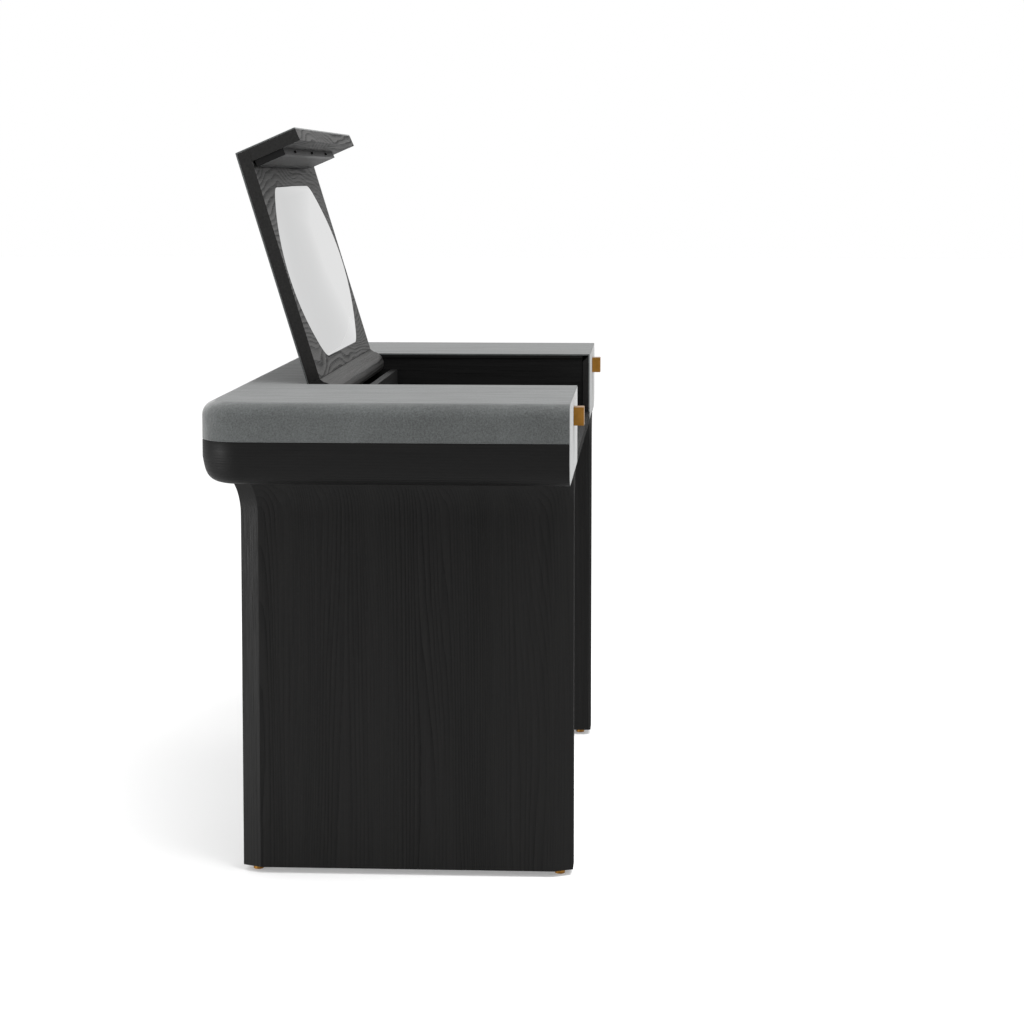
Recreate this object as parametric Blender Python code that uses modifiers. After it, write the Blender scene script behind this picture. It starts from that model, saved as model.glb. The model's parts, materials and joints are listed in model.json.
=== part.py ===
"""Vanity table with a flip-up mirror lid, two leather-fronted drawers and slab legs.

Units are metres, +Z is up, +X runs along the table and -Y is the user's side.
The origin is on the floor, under the middle of the bounding box.
The lid is modelled open, leaning back against the rear strip of the top.
"""
import math

import bmesh
import bpy
from mathutils import Matrix, Vector

# ---- driving dimensions -----------------------------------------------------
WIDTH = 1.420               # over the two ends of the case
CASE_DEPTH = 0.550          # leather front to back
HEIGHT = 0.750              # floor to closed top
CASE_BOTTOM = 0.626         # flat underside of the case
LEATHER_EDGE = 0.692        # where the leather meets the black-stained ash
CURVE_TOP = 0.667           # where the underside starts to curl inwards
CURVE_REACH = 0.060         # how far it curls in
CURVE_POWER = 4.0           # squareness of that curl
CURVE_LEAN = 0.17           # inward lean of the underside from where it starts
CORNER_RADIUS = 0.062       # back corners, seen from above
TOP_RADIUS = 0.022          # rounding of the leather along the top edge
PULL_REACH = 0.016          # how far a pull stands in front of the leather
PULL_SIZE = 0.028
PULL_EASE = 0.0006          # bevel round its face
PULL_HEIGHT = 0.718
BLOCK_WIDTH = 0.350         # each drawer block
LEG_INSET = 0.172           # leg face behind the end of the case
LEG_THICKNESS = 0.060
LEG_DEPTH = 0.515
LEG_CHAMFER_X = 0.015
LEG_CHAMFER_Y = 0.029
LEG_EASE = 0.004
LEG_OVERRUN = 0.014         # leg above the case's underside, trimmed to the curl
FLARE_START = 0.560
FLARE_OUT = 0.026           # how far the leg spreads outwards and backwards
FLARE_IN = 0.065            # how far it spreads towards the knee space
FOOT_HEIGHT = 0.0095
FOOT_RADIUS = 0.008
FOOT_INSET = 0.021
PLATE_WIDTH = 0.050         # steel plate that bolts a leg to the case
PLATE_LENGTH = 0.300
PLATE_THICKNESS = 0.005
LEATHER = 0.0025            # thickness of the leather
BOARD = 0.016               # bottom and walls
TOP_BOARD = 0.022           # thick enough for the rounded edge
SHELL_COVE = 0.030          # height over which the moulding thins to a board
PARTITION = 0.0177
REAR_RAIL = 0.024
LIP_DEPTH = 0.003           # lip along the top of the compartment walls
LIP_HEIGHT = 0.0075
FRONT_BOARD = 0.0105        # drawer front behind its leather
DRAWER_TRAVEL = 0.300
DRAWER_LENGTH = 0.400
DRAWER_LOW = 0.652
DRAWER_HIGH = 0.720
DRAWER_WALL = 0.012
DRAWER_BOTTOM = 0.006
RUNNER = 0.0057
RUNNER_HEIGHT = 0.035
RUNNER_INSET = 0.004        # fixed channel beyond the sliding one, at each edge
LID_ANGLE = 107.0           # degrees from closed to the rest against the strip
LID_REACH = 0.4095          # pivot to the front edge of the closed lid
LID_THICKNESS = 0.0225
PIVOT_DROP = 0.018          # pivot below the closed top
LID_TAIL = 0.0237           # lid behind the pivot
LID_SEAM = 0.026            # joint between hinge rail and lid panel
RAIL_RADIUS = 0.0215
RAIL_START = 16.0           # degrees past the seam at which the roll begins
RAIL_END = 4.0              # degrees past the tail at which it ends
RAIL_STEP = 0.006           # from the pivot up to the step behind the roll
LID_SIDE_GAP = 0.0015
PIN_RADIUS = 0.0040
PIN_CLEARANCE = 0.0003
PIN_IN_LID = 0.030
PIN_SHORT = 0.004           # pin's end short of the partition's outer face
BUSH_RADIUS = 0.0065
FASCIA_LENGTH = 0.104
FASCIA_SPLAY = 6.4          # degrees beyond a right angle
MIRROR_START = 0.051        # from the pivot
MIRROR_LENGTH = 0.296
MIRROR_THICKNESS = 0.004
MIRROR_END_SHARE = 0.56     # width of its straight ends, as a share of the lid
MIRROR_MID_SHARE = 0.95
MIRROR_CORNER = 0.012
LIGHT_LEFT = -0.355         # the light bar starts at the lid's left edge
LIGHT_RIGHT = 0.260         # and stops short of its right edge
LIGHT_DEPTH = 0.053
LIGHT_THICKNESS = 0.011
LIGHT_SETBACK = 0.0035      # from the lid panel to the bar
DIFFUSER_INSET = 0.010
DIFFUSER_FRONT = 0.008
DIFFUSER_THICKNESS = 0.003
SCREW_RADIUS = 0.0023
SCREW_CLEARANCE = 0.0004
SCREW_PROUD = 0.003         # screw heads stand out of the bar's front edge
SCREW_SUNK = 0.0037
SCREW_HOLE = 0.004
SCREW_SHARES = {"left": 0.19, "middle": 0.52, "right": 0.81}
TRAY_RAIL_HEIGHT = 0.720
TRAY_RAIL_FAR = 0.034       # pivot to the tray rail's rear face
TRAY_RAIL_NEAR = 0.047
TRAY_INSET = 0.030
TRAY_THICKNESS = 0.003
LIP_CLEARANCE = 0.0004
MITRE_LEAD = 0.002          # mitre cutters start this far in front
GAP = 0.0003                # between touching pieces

# ---- derived places ---------------------------------------------------------
HALF = WIDTH / 2
FRONT = -(CASE_DEPTH + PULL_REACH) / 2 + PULL_REACH
BACK = FRONT + CASE_DEPTH
OPENING = HALF - BLOCK_WIDTH            # half width of the lid opening
LID_HALF = OPENING - LID_SIDE_GAP
PIVOT = Vector((0.0, FRONT + LID_REACH, HEIGHT - PIVOT_DROP))
TILT = math.radians(LID_ANGLE)
SPLAY = math.radians(FASCIA_SPLAY)
LIP_Y = PIVOT.y + PIVOT_DROP * (1 - math.cos(TILT)) / math.sin(TILT) + LIP_CLEARANCE
RAIL_BACK = LIP_Y + REAR_RAIL
SWING_RADIUS = math.hypot(LIP_Y - PIVOT.y, PIVOT_DROP)
FLOOR_TOP = CASE_BOTTOM + BOARD
INNER_TOP = HEIGHT - LEATHER - GAP
TOP_UNDER = HEIGHT - LEATHER - TOP_BOARD
BAY_INNER = OPENING + PARTITION + GAP   # drawer side of the partition
BAY_OUTER = HALF - CURVE_REACH - GAP - DRAWER_WALL
BEHIND_FRONT = FRONT + LEATHER + FRONT_BOARD + 3 * GAP
BAY_BACK = BACK - CURVE_REACH - 2 * GAP
FAR = 0.05                              # how far cutters run past the surface
BELOW = CASE_BOTTOM - FAR
ABOVE = HEIGHT + FAR

COLLECTION_NAME = "vanity_table"
CUTTER_COLLECTION_NAME = "cutters"


# ---- scene and materials ----------------------------------------------------
def clear_scene():
    for old in list(bpy.data.objects):
        bpy.data.objects.remove(old, do_unlink=True)


def make_collection(name):
    collection = bpy.data.collections.new(name)
    bpy.context.scene.collection.children.link(collection)
    return collection


def make_material(name, colour, roughness, metallic=0.0):
    material = bpy.data.materials.new(name)
    material.use_nodes = True
    shader = material.node_tree.nodes["Principled BSDF"]
    shader.inputs["Base Color"].default_value = (*colour, 1.0)
    shader.inputs["Roughness"].default_value = roughness
    shader.inputs["Metallic"].default_value = metallic
    material.diffuse_color = (*colour, 1.0)
    return material


clear_scene()
PARTS = make_collection(COLLECTION_NAME)
CUTTERS = make_collection(CUTTER_COLLECTION_NAME)

FINISHES = {
    "leather": ((0.150, 0.158, 0.158), 0.75, 0.0),
    "ash": ((0.016, 0.015, 0.014), 0.55, 0.0),
    "inner_wood": ((0.010, 0.010, 0.010), 0.60, 0.0),
    "brass": ((0.450, 0.270, 0.090), 0.35, 1.0),
    "steel": ((0.420, 0.420, 0.420), 0.40, 1.0),
    "mirror": ((0.900, 0.900, 0.900), 0.03, 1.0),
    "black_metal": ((0.030, 0.030, 0.030), 0.45, 0.0),
    "opal": ((0.300, 0.300, 0.290), 0.50, 0.0),
}


# ---- builders ---------------------------------------------------------------
def finish_part(obj, finish, parent=None):
    """Give a part its own material and put it in the object's collection."""
    colour, roughness, metallic = FINISHES[finish]
    obj.data.materials.clear()
    obj.data.materials.append(make_material(obj.name + "_finish", colour, roughness, metallic))
    if parent is not None:
        obj.parent = parent
    for collection in list(obj.users_collection):
        collection.objects.unlink(obj)
    PARTS.objects.link(obj)
    return obj


def finish_cutter(obj):
    obj.hide_render = True
    obj.display_type = "WIRE"
    for collection in list(obj.users_collection):
        collection.objects.unlink(obj)
    CUTTERS.objects.link(obj)
    return obj


def add_box(name, low, high):
    """A box between two corners, with its origin at its middle."""
    low, high = Vector(low), Vector(high)
    bpy.ops.mesh.primitive_cube_add(size=1.0, location=(low + high) / 2)
    obj = bpy.context.active_object
    obj.name = name
    obj.data.transform(diagonal(high - low))
    return obj


def diagonal(size):
    return Matrix.Diagonal((size.x, size.y, size.z, 1.0))


def add_cylinder(name, radius, start, end, segments=24):
    """A cylinder from start to end, which lie on one axis."""
    start, end = Vector(start), Vector(end)
    along = end - start
    bpy.ops.mesh.primitive_cylinder_add(vertices=segments, radius=radius, depth=along.length,
                                        location=(start + end) / 2)
    obj = bpy.context.active_object
    obj.name = name
    obj.rotation_euler = along.to_track_quat("Z", "Y").to_euler()
    return obj


def add_loft(name, rings):
    """A closed solid through equal-length rings of 3D points, with flat ends."""
    mesh = bmesh.new()
    loops = [[mesh.verts.new(point) for point in ring] for ring in rings]
    count = len(loops[0])
    for lower, upper in zip(loops, loops[1:]):
        for i in range(count):
            j = (i + 1) % count
            mesh.faces.new((lower[i], lower[j], upper[j], upper[i]))
    mesh.faces.new(list(reversed(loops[0])))
    mesh.faces.new(loops[-1])
    bmesh.ops.recalc_face_normals(mesh, faces=mesh.faces)
    data = bpy.data.meshes.new(name)
    mesh.to_mesh(data)
    mesh.free()
    obj = bpy.data.objects.new(name, data)
    PARTS.objects.link(obj)
    return obj


def add_prism(name, outline, low_x, high_x):
    """An outline of (y, z) points, pushed along X."""
    rings = [[(x, y, z) for y, z in outline] for x in (low_x, high_x)]
    return add_loft(name, rings)


def cut(obj, *cutters):
    for cutter in cutters:
        modifier = obj.modifiers.new("cut_" + cutter.name, "BOOLEAN")
        modifier.operation = "DIFFERENCE"
        modifier.solver = "EXACT"
        modifier.object = cutter
    return obj


def soften(obj, width, segments=2):
    modifier = obj.modifiers.new("soft_edges", "BEVEL")
    modifier.width = width
    modifier.segments = segments
    modifier.limit_method = "ANGLE"
    modifier.angle_limit = math.radians(40)
    return obj


# ---- shapes shared by the case and the drawer fronts -------------------------
def curl_points(steps=8):
    """(inset, z) points of the curled underside, from the bottom upwards."""
    points = []
    for step in range(steps + 1):
        angle = math.pi / 2 * step / steps
        inward = math.sin(math.pi / 2 - angle) ** (2 / CURVE_POWER)
        down = math.sin(angle) ** (2 / CURVE_POWER)
        drop = (CURVE_TOP - CASE_BOTTOM) * inward
        reach = CURVE_REACH - CURVE_LEAN * (CURVE_TOP - CASE_BOTTOM)
        points.append((CURVE_LEAN * drop + reach * (1 - down), CURVE_TOP - drop))
    return points


def crown_points(radius, top, steps=5):
    """(inset, z) points of the rounded top edge, from the side upwards."""
    centre = (TOP_RADIUS, top - radius)
    points = []
    for step in range(steps + 1):
        angle = math.pi / 2 * step / steps
        points.append((centre[0] - radius * math.cos(angle), centre[1] + radius * math.sin(angle)))
    return points


def plan_ring(inset, z, front=None, segments=8):
    """The case's outline from above, square at the front and round at the back."""
    front = FRONT if front is None else front
    radius = max(CORNER_RADIUS - inset, 0.001)
    cx, cy = HALF - inset - radius, BACK - inset - radius
    ring = [(-HALF + inset, front, z), (HALF - inset, front, z)]
    for side in (1, -1):
        for step in range(segments + 1):
            turn = step if side == 1 else segments - step
            angle = math.pi / 2 * turn / segments
            ring.append((side * (cx + radius * math.cos(angle)), cy + radius * math.sin(angle), z))
    return ring


def case_solid(name, profile, front=None):
    return add_loft(name, [plan_ring(inset, z, front) for inset, z in profile])


def block_section(inset):
    """Front view of a right-hand block, shrunk by inset except at its inner side."""
    inner = OPENING + GAP
    scale_x = (CURVE_REACH - inset) / CURVE_REACH
    section = [(inner, CASE_BOTTOM + inset)]
    for offset, z in curl_points():
        height = (z - CASE_BOTTOM) / (CURVE_TOP - CASE_BOTTOM)
        low = CASE_BOTTOM + inset
        section.append((HALF - inset - offset * scale_x, low + height * (CURVE_TOP - low)))
    radius = max(TOP_RADIUS - inset, 0.0004)
    for step in range(6):
        angle = math.pi / 2 * step / 5
        section.append((HALF - inset - radius + radius * math.cos(angle),
                        HEIGHT - inset - radius + radius * math.sin(angle)))
    section.append((inner, HEIGHT - inset))
    return section


def front_solid(name, side, near, far, inset_near, inset_far, inner_shift=0.0):
    """A drawer-front slab whose edges are mitred at 45 degrees."""
    rings = []
    for y, inset in ((near, inset_near), (far, inset_far)):
        section = block_section(inset)
        section[0] = (section[0][0] - inner_shift, section[0][1])
        section[-1] = (section[-1][0] - inner_shift, section[-1][1])
        rings.append([(side * x, y, z) for x, z in section])
    return add_loft(name, rings)


# ---- cutters shared by several parts ------------------------------------------
def opening_cutter(name, half):
    """The lid's opening, hollowed at the back so that the lid's tail can swing."""
    outline = [(FRONT - FAR, BELOW), (LIP_Y, BELOW)]
    reach = math.asin(PIVOT_DROP / SWING_RADIUS)
    for step in range(9):
        angle = reach * (step / 4 - 1)
        outline.append((PIVOT.y + SWING_RADIUS * math.cos(angle),
                        PIVOT.z + SWING_RADIUS * math.sin(angle)))
    outline += [(LIP_Y, ABOVE), (FRONT - FAR, ABOVE)]
    return finish_cutter(add_prism(name, outline, -half, half))


def make_cutters():
    cutters = {}
    far_front = FRONT - FAR
    for label, side in (("left", -1), ("right", 1)):
        mitre = front_solid("mitre_cut_" + label, side, FRONT - MITRE_LEAD, BEHIND_FRONT,
                            GAP - MITRE_LEAD, GAP + BEHIND_FRONT - FRONT, inner_shift=4 * GAP)
        cutters["mitre_" + label] = finish_cutter(mitre)
    cutters["opening"] = opening_cutter("opening_cut", OPENING)
    cutters["rail_swing"] = opening_cutter("rail_swing_cut", OPENING + FAR)
    board_opening = add_box("board_opening_cut", (-BAY_INNER, far_front, BELOW),
                            (BAY_INNER, RAIL_BACK + GAP, ABOVE))
    cutters["board_opening"] = finish_cutter(board_opening)
    envelope = curl_points() + [(0.0, LEATHER_EDGE)]
    envelope = [(inset - GAP, z - GAP) for inset, z in envelope]
    cutters["case"] = finish_cutter(case_solid("case_cut", envelope, far_front))
    return cutters


# ---- legs and feet ------------------------------------------------------------
def leg_ring(side, z):
    outer = HALF - LEG_INSET
    inner = outer - LEG_THICKNESS
    back = FRONT + LEG_DEPTH
    rise = min(max((z - FLARE_START) / (CASE_BOTTOM - FLARE_START), 0.0), 1.0)
    spread = 1 - math.sqrt(1 - rise * rise)
    outer += FLARE_OUT * spread
    inner -= FLARE_IN * spread
    back += FLARE_OUT * spread
    outline = [
        (outer, FRONT + LEG_CHAMFER_Y),
        (outer, back - LEG_CHAMFER_Y),
        (outer - LEG_CHAMFER_X, back),
        (inner + LEG_EASE, back),
        (inner, back - LEG_EASE),
        (inner, FRONT + LEG_EASE),
        (inner + LEG_EASE, FRONT),
        (outer - LEG_CHAMFER_X, FRONT),
    ]
    return [(side * x, y, z) for x, y in outline]


def make_leg(label, side, cutters):
    rise = CASE_BOTTOM - FLARE_START
    heights = [FOOT_HEIGHT]
    heights += [FLARE_START + rise * math.sin(math.pi / 2 * step / 8) for step in range(9)]
    heights.append(CASE_BOTTOM + LEG_OVERRUN)
    leg = add_loft("leg_" + label, [leg_ring(side, z) for z in heights])
    middle = side * (HALF - LEG_INSET - LEG_THICKNESS / 2)
    wide, long = PLATE_WIDTH / 2, PLATE_LENGTH / 2
    top = CASE_BOTTOM - GAP
    pocket = add_box("plate_pocket_" + label,
                     (middle - wide - GAP, -long - GAP, top - PLATE_THICKNESS - GAP),
                     (middle + wide + GAP, long + GAP, HEIGHT))
    cut(leg, cutters["case"], finish_cutter(pocket))
    finish_part(leg, "ash")
    plate = add_box("leg_plate_" + label,
                    (middle - wide, -long, top - PLATE_THICKNESS), (middle + wide, long, top))
    finish_part(soften(plate, 0.001, 1), "steel")
    for place, y in (("front", FRONT + FOOT_INSET), ("rear", FRONT + LEG_DEPTH - FOOT_INSET)):
        foot = add_cylinder("foot_" + place + "_" + label, FOOT_RADIUS, (middle, y, 0.0),
                            (middle, y, FOOT_HEIGHT - GAP))
        foot.data.shade_smooth()
        finish_part(soften(foot, 0.0006, 1), "brass")


# ---- case ---------------------------------------------------------------------
def make_case(cutters):
    mitres = (cutters["mitre_left"], cutters["mitre_right"])
    inside_front = FRONT - FAR
    inset = CURVE_REACH + GAP
    bottom = case_solid("bottom_panel", [(inset, CASE_BOTTOM), (inset, FLOOR_TOP)])
    finish_part(cut(bottom, *mitres), "ash")

    shell = case_solid("lower_shell", curl_points() + [(0.0, LEATHER_EDGE)])
    hollow = case_solid("lower_hollow", [(CURVE_REACH, CASE_BOTTOM - FAR), (CURVE_REACH, FLOOR_TOP),
                                         (BOARD, FLOOR_TOP + SHELL_COVE), (BOARD, HEIGHT)], inside_front)
    finish_part(cut(shell, finish_cutter(hollow), *mitres), "ash")

    outer = LEATHER + GAP
    low = LEATHER_EDGE + GAP
    walls = case_solid("wall_core", [(outer, low), (outer, TOP_UNDER)])
    wall_hollow = case_solid("wall_hollow", [(BOARD, low - FAR), (BOARD, HEIGHT)], inside_front)
    finish_part(cut(walls, finish_cutter(wall_hollow), *mitres), "inner_wood")

    crown = crown_points(TOP_RADIUS - outer, INNER_TOP)
    board = case_solid("top_board", [(outer, TOP_UNDER + GAP)] + crown)
    finish_part(cut(board, cutters["board_opening"], *mitres), "inner_wood")

    skin = case_solid("leather_top", [(0.0, low)] + crown_points(TOP_RADIUS, HEIGHT))
    under = case_solid("leather_under", [(LEATHER, low - FAR)]
                       + crown_points(TOP_RADIUS - LEATHER, HEIGHT - LEATHER), inside_front)
    cut(skin, finish_cutter(under), cutters["opening"], *mitres)
    finish_part(skin, "leather")


def make_compartment(cutters):
    for label, side in (("left", -1), ("right", 1)):
        inner, outer = OPENING + GAP, OPENING + PARTITION
        wall = add_box("partition_" + label,
                       (min(side * inner, side * outer), BEHIND_FRONT, FLOOR_TOP + GAP),
                       (max(side * inner, side * outer), RAIL_BACK, INNER_TOP))
        edge = OPENING + LIP_DEPTH
        recess = add_box("lip_recess_" + label,
                         (min(0.0, side * edge), BEHIND_FRONT - FAR, BELOW),
                         (max(0.0, side * edge), BAY_BACK + FAR, HEIGHT - LIP_HEIGHT))
        inside = (side * OPENING, PIVOT.y, PIVOT.z)
        beyond = (side * (OPENING + FAR), PIVOT.y, PIVOT.z)
        bore = add_cylinder("bush_bore_" + label, BUSH_RADIUS + GAP, inside, beyond)
        cut(wall, finish_cutter(recess), finish_cutter(bore))
        finish_part(wall, "ash")

        bush = add_cylinder("hinge_bush_" + label, BUSH_RADIUS,
                            (side * (edge + GAP), PIVOT.y, PIVOT.z),
                            (side * outer, PIVOT.y, PIVOT.z))
        eye = add_cylinder("bush_eye_" + label, PIN_RADIUS + PIN_CLEARANCE, inside, beyond)
        finish_part(cut(bush, finish_cutter(eye)), "brass")

    rail = add_box("rear_rail", (-OPENING, LIP_Y, FLOOR_TOP + GAP),
                   (OPENING, RAIL_BACK, INNER_TOP))
    finish_part(cut(rail, cutters["rail_swing"]), "ash")

    face = OPENING + LIP_DEPTH - GAP
    tray_rail = add_box("tray_rail", (-face, PIVOT.y - TRAY_RAIL_NEAR, FLOOR_TOP + GAP),
                        (face, PIVOT.y - TRAY_RAIL_FAR, TRAY_RAIL_HEIGHT))
    finish_part(soften(tray_rail, 0.0008, 1), "ash")
    tray = add_box("tray_floor", (-face, FRONT + TRAY_INSET, FLOOR_TOP + GAP),
                   (face, PIVOT.y - TRAY_RAIL_NEAR - GAP, FLOOR_TOP + TRAY_THICKNESS))
    finish_part(tray, "inner_wood")


# ---- drawers --------------------------------------------------------------------
def make_axis(name, location):
    empty = bpy.data.objects.new(name, None)
    empty.location = location
    PARTS.objects.link(empty)
    return empty


def keep_place(obj, empty):
    """Parent a part to an empty at its joint, without moving the part."""
    obj.parent = empty
    obj.location = obj.location - empty.location
    return obj


def side_box(name, side, low, high):
    """A box given for the right-hand side, mirrored for the left."""
    xs = sorted((side * low[0], side * high[0]))
    return add_box(name, (xs[0], low[1], low[2]), (xs[1], high[1], high[2]))


def make_drawer(label, side):
    axis = make_axis("drawer_axis_" + label, (side * (HALF - BLOCK_WIDTH / 2), FRONT, PULL_HEIGHT))
    face_y = FRONT + LEATHER
    facing = front_solid("drawer_facing_" + label, side, FRONT, face_y,
                         3 * GAP, LEATHER + 3 * GAP)
    finish_part(keep_place(facing, axis), "leather", axis)
    board_near, board_far = face_y + GAP, face_y + GAP + FRONT_BOARD
    front = front_solid("drawer_front_" + label, side, board_near, board_far,
                        board_near - FRONT + 3 * GAP, board_far - FRONT + 3 * GAP)
    finish_part(keep_place(front, axis), "ash", axis)

    near = board_far + GAP
    far = near + DRAWER_LENGTH
    slack = 2 * RUNNER + 3 * GAP
    inner, outer = BAY_INNER + slack, BAY_OUTER - slack
    low, high = DRAWER_LOW, DRAWER_HIGH
    boxes = {
        "drawer_side_inner_": ((inner, near, low), (inner + DRAWER_WALL, far, high)),
        "drawer_side_outer_": ((outer - DRAWER_WALL, near, low), (outer, far, high)),
        "drawer_back_": ((inner + DRAWER_WALL + GAP, far - DRAWER_WALL, low),
                         (outer - DRAWER_WALL - GAP, far, high)),
        "drawer_bottom_": ((inner + DRAWER_WALL + GAP, near, low),
                           (outer - DRAWER_WALL - GAP, far - DRAWER_WALL - GAP, low + DRAWER_BOTTOM)),
    }
    for name, (start, end) in boxes.items():
        piece = side_box(name + label, side, start, end)
        finish_part(keep_place(piece, axis), "inner_wood", axis)

    middle = (DRAWER_LOW + DRAWER_HIGH) / 2
    shelf = (middle - RUNNER_HEIGHT / 2, middle + RUNNER_HEIGHT / 2)
    slide = (shelf[0] + RUNNER_INSET, shelf[1] - RUNNER_INSET)
    for place, wall, way in (("inner", BAY_INNER, 1), ("outer", BAY_OUTER, -1)):
        fixed = (wall + way * GAP, wall + way * (GAP + RUNNER))
        moving = (wall + way * (2 * GAP + RUNNER), wall + way * (2 * GAP + 2 * RUNNER))
        rail = side_box("runner_fixed_" + place + "_" + label, side,
                        (min(fixed), BEHIND_FRONT + RUNNER_INSET, shelf[0]),
                        (max(fixed), far - RUNNER_INSET, shelf[1]))
        finish_part(rail, "steel")
        rail = side_box("runner_moving_" + place + "_" + label, side,
                        (min(moving), near + RUNNER_INSET, slide[0]),
                        (max(moving), far - 2 * RUNNER_INSET, slide[1]))
        finish_part(keep_place(rail, axis), "steel", axis)

    bay = side_box("bay_wall_" + label, side, (BAY_OUTER, BEHIND_FRONT, FLOOR_TOP + GAP),
                   (BAY_OUTER + DRAWER_WALL, BAY_BACK, TOP_UNDER))
    finish_part(bay, "inner_wood")

    half = PULL_SIZE / 2
    centre = side * (HALF - BLOCK_WIDTH / 2)
    tip = FRONT - PULL_REACH
    rings = []
    for y, size in ((tip, half - PULL_EASE), (tip + PULL_EASE, half), (FRONT - GAP, half)):
        rings.append([(centre - size, y, PULL_HEIGHT - size), (centre + size, y, PULL_HEIGHT - size),
                      (centre + size, y, PULL_HEIGHT + size), (centre - size, y, PULL_HEIGHT + size)])
    pull = add_loft("pull_" + label, rings)
    finish_part(keep_place(pull, axis), "brass", axis)


# ---- lid ------------------------------------------------------------------------
def lid_point(along, out):
    """(y, z) of a lid point about the pivot: along the closed lid, and outwards."""
    return (-along, out)


def fascia_point(along, depth):
    """(along, out) of a point on the fascia, from its outer top corner."""
    corner_along, corner_out = LID_REACH, PIVOT_DROP
    return (corner_along + along * math.sin(SPLAY) - depth * math.cos(SPLAY),
            corner_out - along * math.cos(SPLAY) - depth * math.sin(SPLAY))


def fascia_meets(depth, out):
    """How far along the lid the fascia's layer at that depth crosses a height."""
    fall = (PIVOT_DROP - out - depth * math.sin(SPLAY)) / math.cos(SPLAY)
    return fascia_point(fall, depth)[0]


def lid_prism(name, outline, low_x=-LID_HALF, high_x=LID_HALF):
    return add_prism(name, [lid_point(*point) for point in outline], low_x, high_x)


def mirror_outline(grow=0.0):
    """Barrel outline (x, along): straight ends, bulging sides, small corners."""
    middle = MIRROR_START + MIRROR_LENGTH / 2
    half_length = MIRROR_LENGTH / 2 + grow
    widest = MIRROR_MID_SHARE * OPENING + grow
    narrowest = MIRROR_END_SHARE * OPENING + grow
    steps = 16
    side = []
    for step in range(steps + 1):
        share = -1 + 2 * step / steps
        width = widest - (widest - narrowest) * share * share
        side.append(Vector((width, middle + half_length * share)))
    side[0] = side[0] + (side[1] - side[0]) * 0.45
    side[-1] = side[-1] + (side[-2] - side[-1]) * 0.45
    start = Vector((narrowest - MIRROR_CORNER, middle - half_length))
    end = Vector((narrowest - MIRROR_CORNER, middle + half_length))
    corner_low = [start.lerp(side[0], 0.55) + Vector((0.0025, -0.0025))]
    corner_high = [end.lerp(side[-1], 0.55) + Vector((0.0025, 0.0025))]
    half_outline = [start] + corner_low + side + corner_high + [end]
    other = [Vector((-point.x, point.y)) for point in reversed(half_outline)]
    return half_outline + other


def mirror_solid(name, grow, inner, outer):
    """The mirror's outline between two levels of the lid, in lid coordinates."""
    rings = []
    for out in (inner, outer):
        rings.append([(point.x, *lid_point(point.y, out)) for point in mirror_outline(grow)])
    return add_loft(name, rings)


def make_lid():
    axis = make_axis("lid_axis", PIVOT)
    axis.rotation_euler = (-TILT, 0.0, 0.0)
    outer = PIVOT_DROP
    inner = outer - LID_THICKNESS
    under_leather = outer - LEATHER - GAP

    leather = lid_prism("lid_leather", [
        (-LID_TAIL, outer - LEATHER), (-LID_TAIL, outer), (LID_REACH, outer),
        fascia_point(FASCIA_LENGTH, 0.0), fascia_point(FASCIA_LENGTH, LEATHER),
        (fascia_meets(LEATHER, outer - LEATHER), outer - LEATHER),
    ])
    finish_part(leather, "leather", axis)

    depth = LEATHER + GAP
    panel = lid_prism("lid_panel", [
        (LID_SEAM, inner), (LID_SEAM, under_leather),
        (fascia_meets(depth, under_leather), under_leather), (fascia_meets(depth, inner), inner),
    ])
    recess = mirror_solid("mirror_recess", GAP, inner - 0.010, inner + MIRROR_THICKNESS)
    finish_cutter(recess).parent = axis
    finish_part(cut(panel, recess), "ash", axis)
    glass = mirror_solid("mirror_glass", 0.0, inner - GAP, inner + MIRROR_THICKNESS - GAP)
    finish_part(glass, "mirror", axis)

    fascia = lid_prism("lid_fascia", [
        (fascia_meets(depth, inner - GAP), inner - GAP), fascia_point(FASCIA_LENGTH, depth),
        fascia_point(FASCIA_LENGTH, LID_THICKNESS),
        (fascia_meets(LID_THICKNESS, inner - GAP), inner - GAP),
    ])
    finish_part(fascia, "ash", axis)

    roll = [(LID_SEAM - GAP, under_leather), (LID_SEAM - GAP, inner)]
    start = math.atan2(inner, LID_SEAM - GAP) - math.radians(RAIL_START)
    finish = -math.pi - math.radians(RAIL_END)
    for step in range(15):
        angle = start + (finish - start) * step / 14
        roll.append((RAIL_RADIUS * math.cos(angle), RAIL_RADIUS * math.sin(angle)))
    roll += [(-LID_TAIL, RAIL_STEP), (-LID_TAIL, under_leather)]
    hinge_rail = lid_prism("hinge_rail", roll)
    for label, side in (("left", -1), ("right", 1)):
        bore = add_cylinder("pin_bore_" + label, PIN_RADIUS + PIN_CLEARANCE,
                            (side * (OPENING - PIN_IN_LID), 0.0, 0.0), (side * (OPENING + FAR), 0.0, 0.0))
        finish_cutter(bore).parent = axis
        cut(hinge_rail, bore)
        pin = add_cylinder("hinge_pin_" + label, PIN_RADIUS,
                           (side * (OPENING - PIN_IN_LID + GAP), 0.0, 0.0),
                           (side * (OPENING + PARTITION - PIN_SHORT), 0.0, 0.0))
        finish_part(pin, "steel", axis)
    finish_part(hinge_rail, "ash", axis)
    make_light(axis)


def light_start():
    """Distance along the fascia at which its inner face meets the lid panel."""
    return (LID_THICKNESS - LID_THICKNESS * math.sin(SPLAY)) / math.cos(SPLAY)


def light_section(low, high, shallow, deep):
    """Corners of a block on the fascia's inner face, between two distances from the panel."""
    start = light_start()
    return [fascia_point(start + low, shallow), fascia_point(start + high, shallow),
            fascia_point(start + high, deep), fascia_point(start + low, deep)]


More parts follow.
